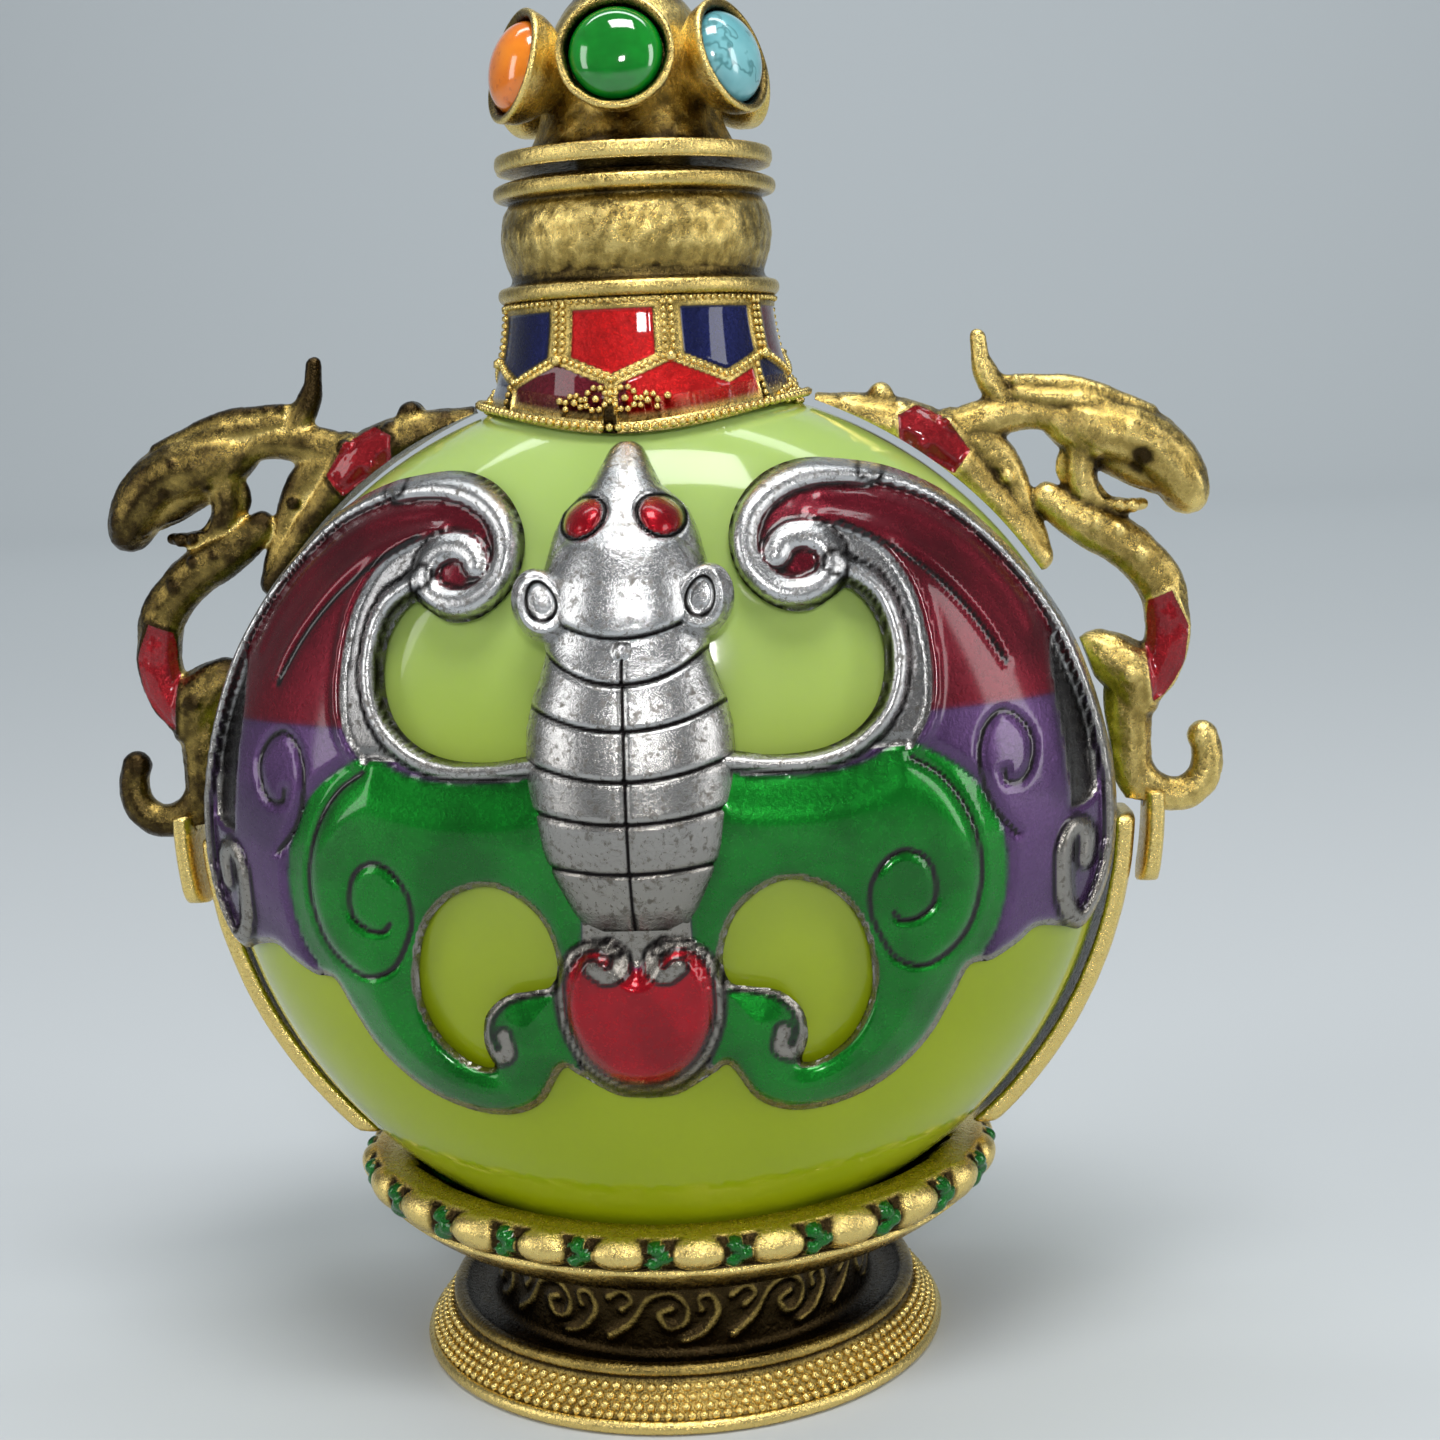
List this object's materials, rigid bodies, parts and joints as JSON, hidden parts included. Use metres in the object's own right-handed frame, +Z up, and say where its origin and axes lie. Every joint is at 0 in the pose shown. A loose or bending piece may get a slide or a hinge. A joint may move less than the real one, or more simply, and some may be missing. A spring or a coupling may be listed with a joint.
{
  "type": "snuff bottle",
  "caption": "Flattened hollow glass snuff bottle on a turned brass foot, with enamelled bat appliques, dragon handles on the shoulders and a lift-off cap set with cabochons.",
  "frame": {"origin": "under the middle of the foot, on the surface that the bottle stands on", "axes": "+Z up through the neck, -Y towards the viewer of the front bat, X across the two dragon handles"},
  "size_m": [0.0586, 0.0344, 0.0755],
  "materials": {
    "jade_glass": "polished translucent yellow-green glass",
    "antiqued_brass": "cast and turned brass, darkened in the hollows, with inlaid red, blue and green enamel",
    "pewter": "antiqued pewter with crimson, purple and green translucent enamel",
    "green_stone": "polished opaque green cabochon",
    "turquoise_stone": "polished opaque turquoise cabochon",
    "coral_stone": "polished opaque orange coral cabochon"
  },
  "bodies": {
    "root": {"glass_bottle": "jade_glass", "foot": "antiqued_brass", "neck_mount": "antiqued_brass", "side_band_left": "antiqued_brass", "side_band_right": "antiqued_brass", "dragon_left": "antiqued_brass", "dragon_right": "antiqued_brass", "bat_front": "pewter", "bat_back": "pewter", "cap": "antiqued_brass", "cabochon_1": "green_stone", "cabochon_2": "turquoise_stone", "cabochon_3": "coral_stone", "cabochon_4": "green_stone", "cabochon_5": "turquoise_stone", "cabochon_6": "coral_stone"}
  },
  "joints": []
}
